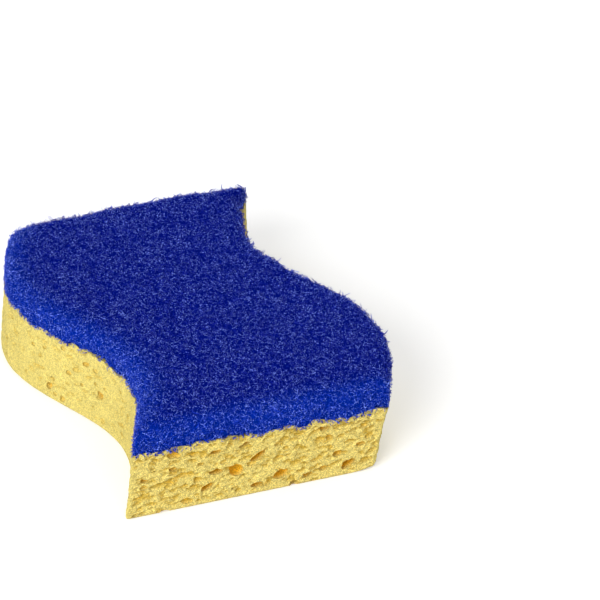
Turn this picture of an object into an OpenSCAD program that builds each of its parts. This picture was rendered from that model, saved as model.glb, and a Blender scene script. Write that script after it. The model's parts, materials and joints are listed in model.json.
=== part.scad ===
// Two-layer cleaning sponge: a cellulose block cut along one wave, with a scouring pad on top.
// The straight ends face front and back. X runs across, Y runs along, Z is up.
// The origin is on the underside, at the middle of the block.

/* [Sponge] */
// Length of the sponge, from the front end to the back end
sponge_l = 112; // [90:1:140]
// Width, from one curved side to the other
sponge_w = 66; // [50:1:90]
// Thickness of the cellulose block
block_h = 18; // [12:0.5:30]
// How far the bottom edge is rounded in
edge_round = 0.8; // [0.2:0.1:1.5]

/* [Worn corners] */
// Rounding of the back left corner, seen from above
worn_corner = 2; // [0.8:0.1:2.2]
// Rounding of the other three corners, seen from above
soft_corner = 0.8; // [0.3:0.1:1.5]
// How far the right side is drawn in below at the front end
worn_tuck = 1.2; // [0:0.1:2]
// How far back from the front end that drawing in reaches
tuck_reach = 20; // [10:1:40]
// Width of the tip that is worn off the bottom of the front right corner
worn_tip_w = 4; // [2:0.5:6]
// Height of that worn tip
worn_tip_h = 2.2; // [1:0.1:4]

/* [Wave] */
// How far the curved sides swing to each side of a straight cut
wave_amp = 7.5; // [0:0.5:12]
// How many waves there are along the length
wave_count = 1.09; // [0.8:0.01:1.5]
// How far the cut leans over across the whole thickness
cut_lean = 2.9; // [0:0.1:4]
// Straight facets along each curved side
wave_steps = 28; // [16:1:40]

/* [Pores] */
// Size of the smallest open pores in the cut faces
pore_min = 1.3; // [0.9:0.1:1.8]
// Size of the largest scattered pores in the straight ends
pore_max = 3; // [2:0.1:4]
// Size of the largest scattered pores in the curved sides, which are the denser cuts
side_pore_max = 2.2; // [1.8:0.1:3]
// Size of the fine pores between the rows
fine_pore = 1; // [0.7:0.1:1.3]
// Spacing of the pores along the straight ends
end_pitch = 5.5; // [5:0.5:9]
// Spacing of the pores along the curved sides
side_pitch = 11; // [7:0.5:14]
// Spacing of the rows of pores up the cut faces
row_pitch = 4; // [3.5:0.5:6]
// Plain band that is kept clear of pores above and below
pore_margin = 1; // [0.6:0.1:2]
// Plain band that is kept clear of pores beside the corners
corner_margin = 2; // [1.5:0.5:5]
// Spacing of the shallow pits in the underside
pit_pitch = 21; // [15:1:30]
// Width of the shallow pits in the underside
pit_size = 2.4; // [1.5:0.1:3.5]
// Depth of the shallow pits in the underside
pit_depth = 0.7; // [0.3:0.1:1.5]

/* [Pad] */
// Thickness of the scouring pad
pad_h = 6; // [4:0.5:10]
// Width of the pad's soft upper rim
pad_rim = 4.5; // [2:0.5:6]
// How far the pad drops towards its edge over that rim
rim_drop = 2.8; // [1:0.1:3.5]
// How far the pad's torn edge wanders in and out
pad_ripple = 0.5; // [0:0.1:1]
// How much the pad's upper face rises and falls
pad_relief = 0.35; // [0:0.05:0.8]

/* [Hidden] */
total_h = block_h + pad_h;
pore_sides = 8;
fine_sides = 5;
// How far a pore's cutter stands out of the cut face
mouth_h = 0.6;
// Facets of the pad's upper face inside its rim, across and along
pad_across = 11;
pad_along = 24;
// Share of the fine pores that is left out
fine_gaps = 0.35;
// The larger pores in the front end: shares of its width and height, then width, height and tilt
front_caves = [
    [0.42, 0.44, 3.6, 3.5, 0], [0.33, 0.80, 2.9, 1.7, 5], [0.34, 0.48, 3.6, 1.5, 0],
    [0.31, 0.26, 3.6, 1.7, 20], [0.17, 0.66, 2.4, 1.4, 0], [0.06, 0.56, 2.4, 1.3, 0],
    [0.44, 0.83, 3.0, 1.3, 10], [0.50, 0.59, 4.6, 2.0, 35], [0.51, 0.14, 3.4, 1.6, 0],
    [0.60, 0.24, 4.2, 2.5, 20], [0.78, 0.66, 2.1, 1.5, 0], [0.82, 0.38, 2.8, 2.0, 0],
    [0.91, 0.46, 2.7, 1.3, 0], [0.87, 0.18, 4.3, 2.0, 30], [0.77, 0.19, 2.3, 1.6, 0],
    [0.71, 0.13, 3.0, 1.5, 15], [0.76, 0.84, 3.0, 1.4, 25], [0.66, 0.04, 2.8, 1.6, 0]];

// Sideways place of the wave at a given place along the sponge
function swing(y) = -wave_amp * sin(360 * wave_count * y / sponge_l);
// Slope of the wave there, as X over Y
function swing_slope(y) = -wave_amp * 2 * PI * wave_count / sponge_l * cos(360 * wave_count * y / sponge_l);
// Sideways shift of the leaning cut at a given height
function lean(z) = cut_lean * (z / total_h - 0.5);
// How far the worn right side is drawn in below at a place; side is 1 on the right and -1 on the left
function tuck(side, y, z) =
    side < 0 ? 0 : worn_tuck * (1 - z / block_h) * exp(-pow((y + sponge_l / 2) / tuck_reach, 2));
// Sideways place of a wall of the block
function wall_x(side, y, z) = side * sponge_w / 2 + swing(y) + lean(z) - tuck(side, y, z);
// Rounding of a corner seen from above: the back left one is worn most
function corner_round(side, v) = side < 0 && v > 0 ? worn_corner : soft_corner;
// A number from 0 to 1 that looks random but is always the same for one place
function chance(place, kind) =
    let (v = sin(place * 127.1 + kind * 311.7) * 43758.5453)
    v - floor(v);
// A smooth, irregular rise and fall between about -1 and 1
function wander(a) = (sin(a) + 0.7 * sin(2.3 * a + 40) + 0.5 * sin(4.1 * a + 110)) / 1.6;

// Stations along a side from front to back: a share of the length from -1 to 1, and the turn
// round the corner seen from above, from 0 on the side to 90 on the end
side_stations = concat(
    [[-1, 90], [-1, 45]],
    [for (i = [0 : wave_steps]) [2 * i / wave_steps - 1, 0]],
    [[1, 45], [1, 90]]);
// One ring of the block's outline, from the front right corner round to the front left
function block_ring(inset, z) =
    [for (side = [1, -1], s = side_stations)
        let (v = side * s[0],
            r = abs(v) == 1 ? corner_round(side, v) : 0,
            y = v * (sponge_l / 2 - inset - r * (1 - sin(s[1]))),
            draw = inset + r * (1 - cos(s[1])))
        [wall_x(side, y, z) - side * draw, y, z]];

// The block before its pores are cut, with a rounded bottom edge
module plain_block() {
    half = len(side_stations);
    count = 2 * half;
    rings = [block_ring(edge_round, 0), block_ring(0.3 * edge_round, 0.3 * edge_round),
        block_ring(0, edge_round), block_ring(0, block_h)];
    walls = [for (level = [0 : len(rings) - 2], i = [0 : count - 1])
        let (a = level * count + i, b = level * count + (i + 1) % count)
        each [[a, a + count, b + count], [a, b + count, b]]];
    rungs = [for (i = [0 : half - 2]) [i, i + 1, count - 2 - i, count - 1 - i]];
    lid = [for (r = rungs) [for (k = [3 : -1 : 0]) r[k] + (len(rings) - 1) * count]];
    polyhedron(points = [for (ring = rings) each ring], faces = concat(walls, rungs, lid));
}

// The space outside a slanting plane that takes the worn tip off the front right corner
module worn_tip() {
    y = -sponge_l / 2;
    slant = atan(worn_tip_w / (sqrt(2) * worn_tip_h));
    size = 4 * worn_tip_w;
    translate([wall_x(1, y, worn_tip_h), y, worn_tip_h])
        rotate([0, slant, -45])
            translate([0, -size / 2, -size / 2])
                cube(size);
}

// One open pore, wider below its mouth, pointing out along Z with its centre on the cut face
module pore(long, high, deep, sides) {
    rings = [[0.9, mouth_h], [1.05, -0.35 * deep]];
    turn = 360 / sides;
    rim = [for (ring = rings, i = [0 : sides - 1])
        [long / 2 * ring[0] * cos(i * turn), high / 2 * ring[0] * sin(i * turn), ring[1]]];
    walls = [for (i = [0 : sides - 1])
        let (j = (i + 1) % sides)
        [i, j, j + sides, i + sides]];
    cone = [for (i = [0 : sides - 1])
        [i + sides, (i + 1) % sides + sides, 2 * sides]];
    cap = [[for (i = [sides - 1 : -1 : 0]) i]];
    polyhedron(points = concat(rim, [[0, 0, -deep]]), faces = concat(walls, cone, cap));
}

// A pore whose length, tilt and depth go by chance, longer along the sponge's layers than across
module chance_pore(place, size, sides) {
    long = size * (1.1 + 0.6 * chance(place, 3));
    high = size * (0.65 + 0.25 * chance(place, 4));
    rotate([0, 0, 36 * (chance(place, 5) - 0.4)])
        pore(long, high, size * (0.5 + 0.5 * chance(place, 6)), sides);
}

// Place of one of a row of pores along a face, shaken out of line by chance
function along(place, i, count, length) =
    (length - 2 * corner_margin) * ((i + 0.5 + 0.6 * (chance(place, 0) - 0.5)) / count - 0.5);
function pore_count(length, pitch) = floor((length - 2 * corner_margin) / pitch);
// Height of a pore in its row, where a half row lies between two rows
row_count = floor((block_h - 2 * pore_margin) / row_pitch);
function rise(place, row) =
    let (pitch = (block_h - 2 * pore_margin) / row_count)
    pore_margin + pitch * (row + 0.5 + 0.5 * (chance(place, 1) - 0.5));
// Size of a scattered pore: many small ones and a few large ones
function chance_size(place, largest) = pore_min + (largest - pore_min) * pow(chance(place, 2), 2);

// Puts a pore in the front or back end
module in_end(back, x, z) {
    y = (back ? 1 : -1) * sponge_l / 2;
    translate([x + swing(y) + lean(z), y, z])
        rotate([90, 0, back ? 180 : 0])
            children();
}

// Puts a pore in the right or left curved side, square to the curve
module in_side(left, y, z) {
    translate([wall_x(left ? -1 : 1, y, z), y, z])
        rotate([90, 0, (left ? 270 : 90) - atan(swing_slope(y))])
            children();
}

// Rows of scattered pores in the straight ends
module end_pores() {
    count = pore_count(sponge_w, end_pitch);
    for (back = [0, 1], row = [0 : row_count - 1], i = [0 : count - 1]) {
        place = 1 + back * 500 + row * 40 + i;
        x = along(place, i, count, sponge_w);
        z = rise(place, row);
        if (back || free_of_caves(x, z, pore_max))
            in_end(back, x, z) chance_pore(place, chance_size(place, pore_max), pore_sides);
    }
    for (back = [0, 1], row = [0.5 : row_count - 1], i = [0 : count - 1]) {
        place = 3001 + back * 500 + row * 40 + i;
        x = along(place, i, count, sponge_w);
        z = rise(place, row);
        if (chance(place, 8) > fine_gaps && (back || free_of_caves(x, z, fine_pore)))
            in_end(back, x, z) chance_pore(place, fine_pore, fine_sides);
    }
}

// Rows of scattered pores in the curved sides
module side_pores() {
    count = pore_count(sponge_l, side_pitch);
    for (left = [0, 1], row = [0 : row_count - 1], i = [0 : count - 1]) {
        place = 1001 + left * 500 + row * 40 + i;
        in_side(left, along(place, i, count, sponge_l), rise(place, row))
            chance_pore(place, chance_size(place, side_pore_max), pore_sides);
    }
    for (left = [0, 1], row = [0.5 : row_count - 1], i = [0 : count - 1]) {
        place = 4001 + left * 500 + row * 40 + i;
        if (chance(place, 8) > fine_gaps)
            in_side(left, along(place, i, count, sponge_l), rise(place, row))
                chance_pore(place, fine_pore, fine_sides);
    }
}

// The larger pores of the front end, and whether a pore of a given size is clear of them
function cave_x(c) = (c[0] - 0.5) * sponge_w;
function cave_z(c) = c[1] * block_h;
function free_of_caves(x, z, size) =
    len([for (c = front_caves)
        if (norm([x - cave_x(c), z - cave_z(c)]) < (c[2] + size) / 2 + 0.3) c]) == 0;
module front_cave_pores() {
    for (c = front_caves)
        in_end(0, cave_x(c), cave_z(c))
            rotate([0, 0, c[4]])
                pore(c[2], c[3], 0.6 * c[2], pore_sides);
}

// Shallow pits in the pressed underside
module underside_pits() {
    across = pore_count(sponge_w, pit_pitch) + 1;
    down = pore_count(sponge_l, pit_pitch) + 1;
    for (i = [0 : across - 1], j = [0 : down - 1]) {
        place = 2001 + i * 40 + j;
        y = along(place, j, down, sponge_l);
        x = along(place + 20, i, across, sponge_w);
        translate([x + swing(y) + lean(0), y, 0])
            rotate([180, 0, 180 * chance(place, 5)])
                pore(pit_size * (0.9 + 0.6 * chance(place, 2)), pit_size * 0.8, pit_depth, pore_sides);
    }
}

// Yellow cellulose block: one wave down both sides, open pores in all four cut faces
module sponge_block() {
    color([0.93, 0.83, 0.42])
        difference() {
            plain_block();
            end_pores();
            side_pores();
            front_cave_pores();
            underside_pits();
            worn_tip();
        }
}

// Stations across a width: close together at both soft rims, even between them
rim_shares = [0, 0.1, 0.35];
function stations(size, steps) =
    let (inner = size / 2 - pad_rim)
    concat([for (share = rim_shares) -size / 2 + share * pad_rim],
        [for (i = [0 : steps]) -inner + 2 * inner * i / steps],
        [for (k = [len(rim_shares) - 1 : -1 : 0]) size / 2 - rim_shares[k] * pad_rim]);
// Height of the rounded rim at a given distance in from the edge
function rim_height(d) =
    let (k = 1 - min(d, pad_rim) / pad_rim)
    pad_h - rim_drop * (1 - sqrt(1 - k * k));
// A place seen from above, moved so that the corners are rounded
function rounded(u, v) =
    let (r = corner_round(sign(u), v),
        du = abs(u) - (sponge_w / 2 - r),
        dv = abs(v) - (sponge_l / 2 - r),
        draw = max(du, dv) / norm([du, dv]))
    du > 0 && dv > 0
        ? [sign(u) * (sponge_w / 2 - r + du * draw), sign(v) * (sponge_l / 2 - r + dv * draw)]
        : [u, v];
// A point of the pad's upper face, where u runs across and v along
function pad_point(u, v, flat) =
    let (half_w = sponge_w / 2, half_l = sponge_l / 2,
        edge_u = half_w - abs(u), edge_v = half_l - abs(v),
        ripple_u = pad_ripple * u / half_w * wander(6.1 * v + (u > 0 ? 90 : 0)),
        ripple_v = pad_ripple * v / half_l * wander(7.3 * u + (v > 0 ? 50 : 0)),
        rim = min(rim_height(edge_u), rim_height(edge_v)),
        relief = pad_relief * wander(4.3 * u + 2.1 * v) * wander(3.7 * v - 1.9 * u),
        inside = min(1, min(edge_u, edge_v) / pad_rim),
        z = block_h + (flat ? 0 : rim + inside * relief),
        at = rounded(u, v))
    [at[0] + ripple_u + swing(at[1]) + lean(z), at[1] + ripple_v, z];

// Blue scouring pad: the same outline with a torn edge, a soft rim and an uneven face
module scouring_pad() {
    us = stations(sponge_w, pad_across);
    vs = stations(sponge_l, pad_along);
    nu = len(us);
    nv = len(vs);
    top = [for (v = vs, u = us) pad_point(u, v, false)];
    // The flat base has only the edge's points, row by row: the end rows whole, the others two each
    base_row = [for (j = [0 : nv - 1])
        [for (i = [0 : nu - 1])
            if (j == 0 || j == nv - 1 || i == 0 || i == nu - 1)
                pad_point(us[i], vs[j], true)]];
    function base_id(i, j) =
        nu * nv + (j == 0 ? i : nu + 2 * (j - 1) + (j == nv - 1 ? i : (i == 0 ? 0 : 1)));
    function top_id(i, j) = j * nu + i;
    upper = [for (j = [0 : nv - 2], i = [0 : nu - 2])
        each [[top_id(i, j), top_id(i + 1, j + 1), top_id(i + 1, j)],
            [top_id(i, j), top_id(i, j + 1), top_id(i + 1, j + 1)]]];
    last_u = nu - 1;
    last_v = nv - 1;
    skirt_ends = [for (i = [0 : nu - 2])
        each [[top_id(i, 0), top_id(i + 1, 0), base_id(i + 1, 0), base_id(i, 0)],
            [top_id(i + 1, last_v), top_id(i, last_v), base_id(i, last_v), base_id(i + 1, last_v)]]];
    skirt_sides = [for (j = [0 : nv - 2])
        each [[top_id(0, j + 1), top_id(0, j), base_id(0, j), base_id(0, j + 1)],
            [top_id(last_u, j), top_id(last_u, j + 1), base_id(last_u, j + 1), base_id(last_u, j)]]];
    base_rungs = [for (j = [1 : nv - 3])
        [base_id(0, j), base_id(last_u, j), base_id(last_u, j + 1), base_id(0, j + 1)]];
    base_ends = [for (i = [0 : nu - 2])
        each [[base_id(i, 0), base_id(i + 1, 0), base_id(0, 1)],
            [base_id(i + 1, last_v), base_id(i, last_v), base_id(0, last_v - 1)]]];
    base_corners = [[base_id(last_u, 0), base_id(last_u, 1), base_id(0, 1)],
        [base_id(last_u, last_v), base_id(0, last_v - 1), base_id(last_u, last_v - 1)]];
    color([0.08, 0.16, 0.62])
        polyhedron(points = concat(top, [for (row = base_row) each row]),
            faces = concat(upper, skirt_ends, skirt_sides, base_rungs, base_ends, base_corners));
}

sponge_block();
scouring_pad();
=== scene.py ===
"""Looks of a two-layer cleaning sponge: a pored cellulose block under a fibre scouring pad."""
import json
import math

import bpy
import numpy as np
from bpy.props import FloatProperty, FloatVectorProperty, IntProperty, PointerProperty
from mathutils import Matrix, Vector, noise

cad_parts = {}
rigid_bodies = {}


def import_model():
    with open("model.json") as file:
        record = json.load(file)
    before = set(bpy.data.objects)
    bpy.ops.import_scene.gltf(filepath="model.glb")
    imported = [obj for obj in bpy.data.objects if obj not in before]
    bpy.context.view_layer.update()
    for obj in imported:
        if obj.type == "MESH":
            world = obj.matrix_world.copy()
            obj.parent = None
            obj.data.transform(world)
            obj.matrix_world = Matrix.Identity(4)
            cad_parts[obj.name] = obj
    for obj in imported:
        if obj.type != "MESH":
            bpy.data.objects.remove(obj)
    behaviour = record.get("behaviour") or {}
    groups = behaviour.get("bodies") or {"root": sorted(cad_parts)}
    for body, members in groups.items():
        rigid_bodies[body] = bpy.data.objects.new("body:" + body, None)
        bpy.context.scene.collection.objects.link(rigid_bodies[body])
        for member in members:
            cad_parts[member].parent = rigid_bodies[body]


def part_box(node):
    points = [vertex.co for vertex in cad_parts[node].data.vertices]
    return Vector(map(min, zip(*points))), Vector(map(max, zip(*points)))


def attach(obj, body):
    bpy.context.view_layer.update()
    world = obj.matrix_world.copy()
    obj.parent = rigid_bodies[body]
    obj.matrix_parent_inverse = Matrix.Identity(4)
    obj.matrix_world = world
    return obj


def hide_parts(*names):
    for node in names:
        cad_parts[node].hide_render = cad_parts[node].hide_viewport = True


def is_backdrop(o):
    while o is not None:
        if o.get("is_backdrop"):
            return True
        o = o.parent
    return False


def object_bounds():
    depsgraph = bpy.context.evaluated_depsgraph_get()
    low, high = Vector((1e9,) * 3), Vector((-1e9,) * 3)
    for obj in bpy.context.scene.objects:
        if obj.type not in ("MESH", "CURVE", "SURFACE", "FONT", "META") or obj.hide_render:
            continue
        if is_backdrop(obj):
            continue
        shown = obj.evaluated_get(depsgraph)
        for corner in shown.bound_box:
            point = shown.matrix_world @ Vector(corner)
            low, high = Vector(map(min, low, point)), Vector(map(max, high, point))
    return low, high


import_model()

bl_info = {
    "name": "Cleaning sponge",
    "version": (1, 0, 0),
    "blender": (4, 5, 0),
    "location": "3D View > Sidebar > Sponge",
    "description": "Builds a wave-shaped cleaning sponge with real pores and fibres",
    "category": "Add Mesh",
}

MM = 0.001
CAD_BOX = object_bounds()
BLOCK_LOW, BLOCK_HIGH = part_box("sponge_block")

# Fixed seeds, so that each run gives the same sponge
NOISE_SEED = 4
DENT_SEED = 3
HOLLOW_SEED = 11
FIBRE_SEED = 5

# How far the block's flare, the pad's worn places and the worn front corner reach
FLARE_REACH = 9 * MM
EDGE_PATCH = 6 * MM
WORN_PATCH = 3 * MM

# Share of the back tuck that is there at the top of the block too
TUCK_ABOVE = 0.4


class SpongeShape(bpy.types.PropertyGroup):
    """The outline that both layers share, with the same values as the solids."""

    length: FloatProperty(
        name="Length", description="From the front end to the back end",
        default=BLOCK_HIGH.y - BLOCK_LOW.y, unit="LENGTH")
    width: FloatProperty(
        name="Width", description="From one curved side to the other",
        default=66 * MM, unit="LENGTH")
    block_height: FloatProperty(
        name="Block height", description="Thickness of the cellulose block",
        default=BLOCK_HIGH.z - BLOCK_LOW.z, unit="LENGTH")
    pad_height: FloatProperty(
        name="Pad height", description="Thickness of the scouring pad",
        default=6 * MM, unit="LENGTH")
    seam_wander: FloatProperty(
        name="Seam wander", description="How far the bond between the layers wanders up and down",
        default=1.0 * MM, unit="LENGTH")
    seam_sag: FloatProperty(
        name="Seam sag", description="How far the bond hangs down at the front right corner",
        default=1.4 * MM, unit="LENGTH")
    sag_reach: FloatProperty(
        name="Sag reach", description="How far back from the front end that sag reaches",
        default=5 * MM, unit="LENGTH")
    wave_swing: FloatProperty(
        name="Wave swing", description="How far the sides swing to each side",
        default=7.5 * MM, unit="LENGTH")
    wave_count: FloatProperty(
        name="Wave count", description="Waves along the length", default=1.09)
    cut_lean: FloatProperty(
        name="Cut lean", description="How far the cut leans over across the thickness",
        default=2.9 * MM, unit="LENGTH")
    edge_round: FloatProperty(
        name="Edge rounding", description="How far the bottom edge is rounded in",
        default=0.8 * MM, unit="LENGTH")
    worn_round: FloatProperty(
        name="Worn rounding", description="Rounding of the bottom edge at the worn front corner",
        default=2 * MM, unit="LENGTH")
    worn_tuck: FloatProperty(
        name="Worn tuck", description="How far the right side is drawn in below at the front end",
        default=1.2 * MM, unit="LENGTH")
    tuck_reach: FloatProperty(
        name="Tuck reach", description="How far back from the front end that drawing in reaches",
        default=20 * MM, unit="LENGTH")
    back_tuck: FloatProperty(
        name="Back tuck", description="How far the left side is drawn in below towards the back end",
        default=1.2 * MM, unit="LENGTH")
    flare: FloatProperty(
        name="Flare", description="How far the right side stands out below near the back end",
        default=3.2 * MM, unit="LENGTH")
    flare_at: FloatProperty(
        name="Flare place", description="Where along the length the right side stands out",
        default=47 * MM, unit="LENGTH")
    worn_corner: FloatProperty(
        name="Worn corner", description="Rounding of the back left corner seen from above",
        default=3.5 * MM, unit="LENGTH")
    soft_corner: FloatProperty(
        name="Soft corner", description="Rounding of the other corners seen from above",
        default=0.8 * MM, unit="LENGTH")


class PoreSettings(bpy.types.PropertyGroup):
    """Pores of the cellulose block."""

    pore_min: FloatProperty(
        name="Smallest pore", description="Size of the smallest open pores",
        default=1.3 * MM, unit="LENGTH")
    pore_max: FloatProperty(
        name="Largest pore", description="Size of the largest scattered pores",
        default=3 * MM, unit="LENGTH")
    side_pore_max: FloatProperty(
        name="Largest side pore", description="Size of the largest pores in the curved sides",
        default=2.2 * MM, unit="LENGTH")
    fine_pore: FloatProperty(
        name="Fine pore", description="Size of the fine pores between the rows",
        default=1 * MM, unit="LENGTH")
    end_pitch: FloatProperty(
        name="End pitch", description="Spacing of the pores along the ends",
        default=5.5 * MM, unit="LENGTH")
    side_pitch: FloatProperty(
        name="Side pitch", description="Spacing of the pores along the curved sides",
        default=11 * MM, unit="LENGTH")
    shallow_share: FloatProperty(
        name="Pore depth", description="Depth of the scattered pores as a share of the solids' pores",
        default=0.5)
    end_shallow: IntProperty(
        name="End hollows", description="Shallow lens-shaped hollows in each end", default=160)
    side_shallow: IntProperty(
        name="Side hollows", description="Shallow lens-shaped hollows in each side", default=24)
    grain_step: FloatProperty(
        name="Grain step", description="Spacing of the points that carry the foam's relief",
        default=0.38 * MM, unit="LENGTH")
    grain: FloatProperty(
        name="Grain", description="How far single cell walls stand out of the cut faces",
        default=0.05 * MM, unit="LENGTH")
    end_foam: FloatProperty(
        name="End foam", description="How many dents the two ends have", default=1.0)
    side_foam: FloatProperty(
        name="Side foam", description="How many dents the two sides have", default=0.5)
    pits: IntProperty(
        name="Pits", description="Shallow pits in the underside", default=380)
    warp: FloatProperty(
        name="Warp", description="How far the pore rims wander from round",
        default=0.12 * MM, unit="LENGTH")
    yellow: FloatVectorProperty(
        name="Cellulose", description="Colour of the cut ends", subtype="COLOR",
        default=(0.92, 0.75, 0.225))
    pale: FloatVectorProperty(
        name="Side cellulose", description="Colour of the smoother curved sides", subtype="COLOR",
        default=(0.84, 0.70, 0.21))
    # Painted shade: the darker colour on the shaded upper side of the hollows
    hollow_shade: FloatVectorProperty(
        name="Hollow", description="Colour in the shallow hollows", subtype="COLOR",
        default=(0.57, 0.38, 0.045))
    # Painted shade: the darker colour mixed into the gaps between the finest cell walls
    gap_shade: FloatVectorProperty(
        name="Cell gap", description="Colour in the gaps between the finest cell walls",
        subtype="COLOR", default=(0.40, 0.27, 0.03))
    # Painted shade: the orange shade deep inside the pores, where light bouncing between the yellow
    # walls colours it
    deep_pore_shade: FloatVectorProperty(
        name="Deep pore", description="Colour deep inside the pores", subtype="COLOR",
        default=(0.57, 0.31, 0.014))
    khaki: FloatVectorProperty(
        name="Underside", description="Colour of the pressed underside", subtype="COLOR",
        default=(0.62, 0.46, 0.14))


class PadSettings(bpy.types.PropertyGroup):
    """Fibres of the scouring pad."""

    rim: FloatProperty(
        name="Rim", description="Width of the soft upper rim", default=4.5 * MM, unit="LENGTH")
    rim_drop: FloatProperty(
        name="Rim drop", description="How far the pad drops towards its edge over the rim",
        default=2.8 * MM, unit="LENGTH")
    ripple: FloatProperty(
        name="Ripple", description="How far the torn edge wanders", default=0.5 * MM, unit="LENGTH")
    relief: FloatProperty(
        name="Relief", description="Rise and fall of the top", default=0.35 * MM, unit="LENGTH")
    recess: FloatProperty(
        name="Recess", description="How far the right edge is drawn in near the back",
        default=1.0 * MM, unit="LENGTH")
    recess_at: FloatProperty(
        name="Recess place", description="Where along the length the right edge is drawn in",
        default=47 * MM, unit="LENGTH")
    bulge: FloatProperty(
        name="Bulge", description="How far the left edge stands out near the back",
        default=0.8 * MM, unit="LENGTH")
    bulge_at: FloatProperty(
        name="Bulge place", description="Where along the length the left edge stands out",
        default=49 * MM, unit="LENGTH")
    corner_drop: FloatProperty(
        name="Corner drop", description="How far the pad droops at its worn back left corner",
        default=1.3 * MM, unit="LENGTH")
    cover: FloatProperty(
        name="Cover", description="How far the felted body lies below the outer fibres",
        default=0.4 * MM, unit="LENGTH")
    layers: IntProperty(name="Layers", description="Number of fibre layers", default=4)
    fibres_each: IntProperty(
        name="Fibres each", description="Number of fibres in one layer", default=8400)
    strays: FloatProperty(
        name="Strays", description="Loose fibres for each square millimetre of the cut edge",
        default=1.25)
    stray_reach: FloatProperty(
        name="Stray reach", description="How far in from the cut edge the loose fibres reach",
        default=2.5 * MM, unit="LENGTH")
    stray_size: FloatProperty(
        name="Stray size", description="Size of the loose fibres as a share of the others",
        default=1.6)
    lift: FloatProperty(
        name="Lift", description="How far fibres lie above or below the body's surface",
        default=0.25 * MM, unit="LENGTH")
    tilt: FloatProperty(
        name="Tilt", description="How steeply fibres may leave the surface",
        default=0.5, unit="ROTATION")
    stray_tilt: FloatProperty(
        name="Stray tilt", description="How steeply the loosest fibres may leave the surface",
        default=1.4, unit="ROTATION")
    stray_lift: FloatProperty(
        name="Stray lift", description="How far the loosest fibres lie above or below the surface",
        default=0.5 * MM, unit="LENGTH")
    tuft: FloatProperty(
        name="Tuft", description="How far tufts are drawn down over the bond at the cut edge",
        default=1.0 * MM, unit="LENGTH")
    droop: FloatProperty(
        name="Droop", description="How far stray fibres hang over the block's edge",
        default=1.3 * MM, unit="LENGTH")
    fibre_radius: FloatProperty(
        name="Fibre radius", description="Half the thickness of one fibre",
        default=0.085 * MM, unit="LENGTH")
    fibre_length: FloatProperty(
        name="Fibre length", description="Length of one curled fibre",
        default=1.7 * MM, unit="LENGTH")
    overhang: FloatProperty(
        name="Overhang", description="How far stray fibres stand off the torn edge",
        default=0.9 * MM, unit="LENGTH")
    blue: FloatVectorProperty(
        name="Fibre blue", description="Colour of most fibres", subtype="COLOR",
        default=(0.001, 0.012, 0.39))
    # Painted highlight: the colour of the glints on the fibres' brightest speckles
    pale: FloatVectorProperty(
        name="Pale fibre", description="Colour of the palest fibres", subtype="COLOR",
        default=(0.24, 0.35, 1.0))
    # Painted light: the paler blue of the left and front cut edges, which face the key lamp
    edge: FloatVectorProperty(
        name="Edge blue", description="Colour of the looser fibres at the cut edge",
        subtype="COLOR", default=(0.001, 0.085, 0.84))
    # The painted light of the left and front cut edges reaches this far in
    rim_reach: FloatProperty(
        name="Edge reach", description="How far in from the edge the looser fibres reach",
        default=5 * MM, unit="LENGTH")


def wander(a):
    """A smooth, irregular rise and fall between about -1 and 1, for an angle in degrees."""
    a = np.radians(a)
    return (np.sin(a) + 0.7 * np.sin(2.3 * a + math.radians(40))
            + 0.5 * np.sin(4.1 * a + math.radians(110))) / 1.6


def chance(place, kind):
    """A number from 0 to 1 that is always the same for one place, as in the solids."""
    v = math.sin(math.radians(place * 127.1 + kind * 311.7)) * 43758.5453
    return v - math.floor(v)


class Outline:
    """The wave-shaped outline and its lean, for numbers and arrays alike."""

    def __init__(self, shape):
        self.half_w = shape.width / 2
        self.half_l = shape.length / 2
        self.top = shape.block_height
        self.total = shape.block_height + shape.pad_height
        self.amp = shape.wave_swing
        self.turn = math.pi * shape.wave_count / self.half_l
        self.lean_by = shape.cut_lean
        self.tuck_by = shape.worn_tuck
        self.tuck_reach = shape.tuck_reach
        self.back_tuck = shape.back_tuck
        self.flare_by = shape.flare
        self.flare_at = shape.flare_at

    def swing(self, y):
        """How far the outline has swung to the right at a place along the length."""
        return -self.amp * np.sin(self.turn * y)

    def slope(self, y):
        """How steeply the outline swings there."""
        return -self.amp * self.turn * np.cos(self.turn * y)

    def lean(self, z):
        """How far the cut leans to the right at a height."""
        return self.lean_by * (z / self.total - 0.5)

    def middle(self, y, z):
        """Where the middle between the two curved sides lies."""
        return self.swing(y) + self.lean(z)

    def tuck(self, u, y, z):
        """How far a side is drawn in below; u is above 0 on the right and below 0 on the left."""
        below = np.clip(1 - z / self.top, 0, 1)
        right = below * self.tuck_by * np.exp(-((y + self.half_l) / self.tuck_reach) ** 2)
        along = (y - self.flare_at) / FLARE_REACH
        right = right - np.sqrt(below) * self.flare_by * np.exp(-along ** 2)
        left = TUCK_ABOVE + (1 - TUCK_ABOVE) * below
        left = left * self.back_tuck * np.clip(y / self.half_l, 0, 1)
        return np.where(np.asarray(u) > 0, right, left)

    def side_gap(self, co):
        """Distance in from the nearer curved side, negative outside."""
        y = np.clip(co[:, 1], -self.half_l, self.half_l)
        off = co[:, 0] - self.middle(y, co[:, 2])
        across = self.half_w - np.abs(off) - self.tuck(off, y, co[:, 2])
        return across / np.sqrt(1 + self.slope(y) ** 2)

    def end_gap(self, co):
        """Distance in from the nearer straight end, negative outside."""
        return self.half_l - np.abs(co[:, 1])


def read_coordinates(mesh):
    """The mesh's points as an array with one row each."""
    co = np.empty(len(mesh.vertices) * 3)
    mesh.vertices.foreach_get("co", co)
    return co.reshape(-1, 3)


def write_coordinates(mesh, co):
    """Moves the mesh's points to the rows of an array."""
    mesh.vertices.foreach_set("co", np.ascontiguousarray(co, dtype=np.float32).ravel())
    mesh.update()


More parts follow.
